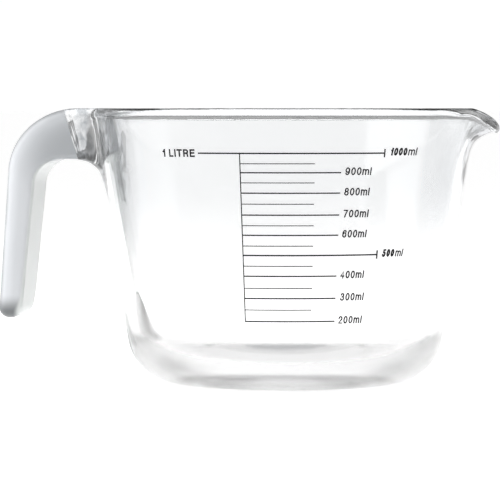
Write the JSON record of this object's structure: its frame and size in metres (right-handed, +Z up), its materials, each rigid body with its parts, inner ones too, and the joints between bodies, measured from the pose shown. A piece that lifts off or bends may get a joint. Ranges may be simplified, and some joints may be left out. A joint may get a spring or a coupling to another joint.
{
  "type": "measuring jug",
  "caption": "Pressed-glass measuring jug: tapered round bowl with a beaded rim, a drooping pouring lip, an open hook handle and a fired millilitre scale.",
  "frame": {"origin": "centre of the base on the bowl's axis, at the level of the surface the jug stands on", "axes": "+Z up along the bowl's axis, +X from the handle towards the pouring lip, -Y towards the printed scale"},
  "size_m": [0.1975, 0.151, 0.1084],
  "materials": {
    "glass": "clear, fire polished",
    "handle_glass": "clear glass with a soft satin grip",
    "enamel": "fired black enamel, satin"
  },
  "bodies": {
    "root": {"bowl": "glass", "spout": "glass", "handle_root": "glass", "handle": "handle_glass", "scale_spine": "enamel", "mark_1000_ml": "enamel", "mark_950_ml": "enamel", "mark_900_ml": "enamel", "mark_850_ml": "enamel", "mark_800_ml": "enamel", "mark_750_ml": "enamel", "mark_700_ml": "enamel", "mark_650_ml": "enamel", "mark_600_ml": "enamel", "mark_550_ml": "enamel", "mark_500_ml": "enamel", "mark_450_ml": "enamel", "mark_400_ml": "enamel", "mark_350_ml": "enamel", "mark_300_ml": "enamel", "mark_250_ml": "enamel", "mark_200_ml": "enamel"}
  },
  "joints": []
}
